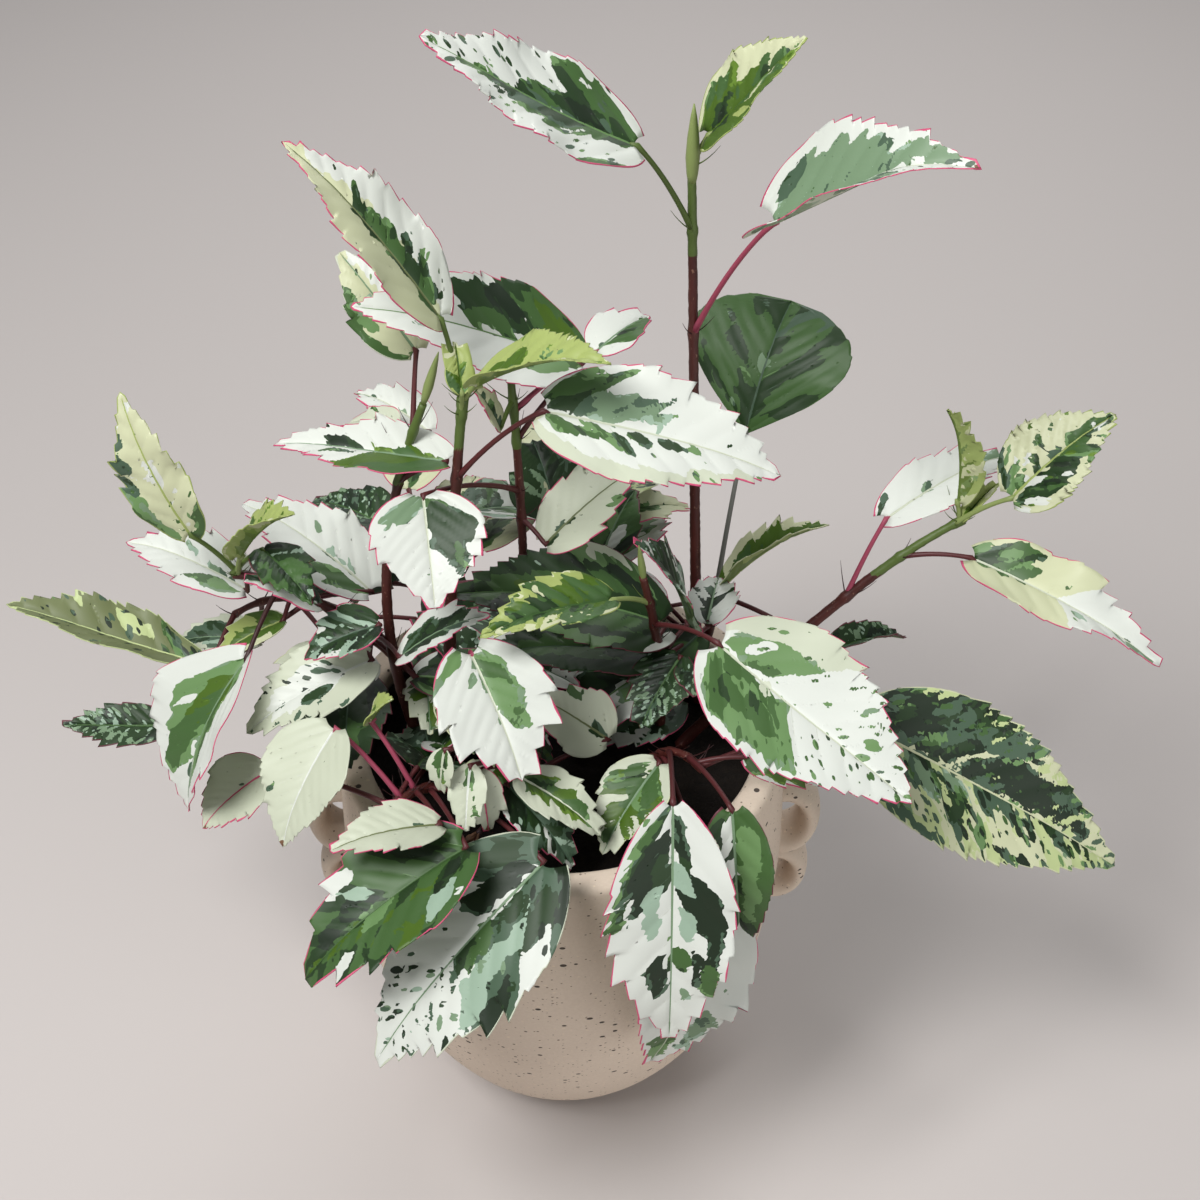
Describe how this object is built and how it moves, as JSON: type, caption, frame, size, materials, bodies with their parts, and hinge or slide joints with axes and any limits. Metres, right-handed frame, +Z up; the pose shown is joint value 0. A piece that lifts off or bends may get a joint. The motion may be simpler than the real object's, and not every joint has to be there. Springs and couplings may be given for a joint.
{
  "type": "potted hibiscus shrub",
  "caption": "Young variegated hibiscus shrub with slender stems and broad toothed leaves, growing in a round stoneware pot with looped handles.",
  "frame": {"origin": "centre of the pot's flat underside", "axes": "+Z up, +X to the right of someone who faces the plant, through the pot's right handle, -Y towards that person"},
  "size_m": [0.423, 0.2819, 0.451],
  "materials": {
    "stoneware": "matte, speckled",
    "soil": "rough, moist",
    "bark": "smooth dark red-brown bark",
    "foliage": "satin leaf"
  },
  "bodies": {
    "root": {"pot": "stoneware", "right_handle": "stoneware", "left_handle": "stoneware", "soil": "soil", "leader_stem": "bark", "right_arm_stem": "bark", "leader_foot_stem": "bark", "centre_stem": "bark", "front_right_stem": "bark", "front_low_stem": "bark", "front_left_stem": "bark", "left_arm_stem": "bark", "left_low_stem": "bark", "left_upright_stem": "bark", "upper_left_stem": "bark", "upper_back_stem": "bark", "back_left_stem": "bark", "back_mid_stem": "bark", "leader_foliage": "foliage", "right_arm_foliage": "foliage", "leader_foot_foliage": "foliage", "centre_foliage": "foliage", "front_right_foliage": "foliage", "front_low_foliage": "foliage", "front_left_foliage": "foliage", "left_arm_foliage": "foliage", "left_low_foliage": "foliage", "left_upright_foliage": "foliage", "upper_left_foliage": "foliage", "upper_back_foliage": "foliage", "back_left_foliage": "foliage", "back_mid_foliage": "foliage"}
  },
  "joints": []
}
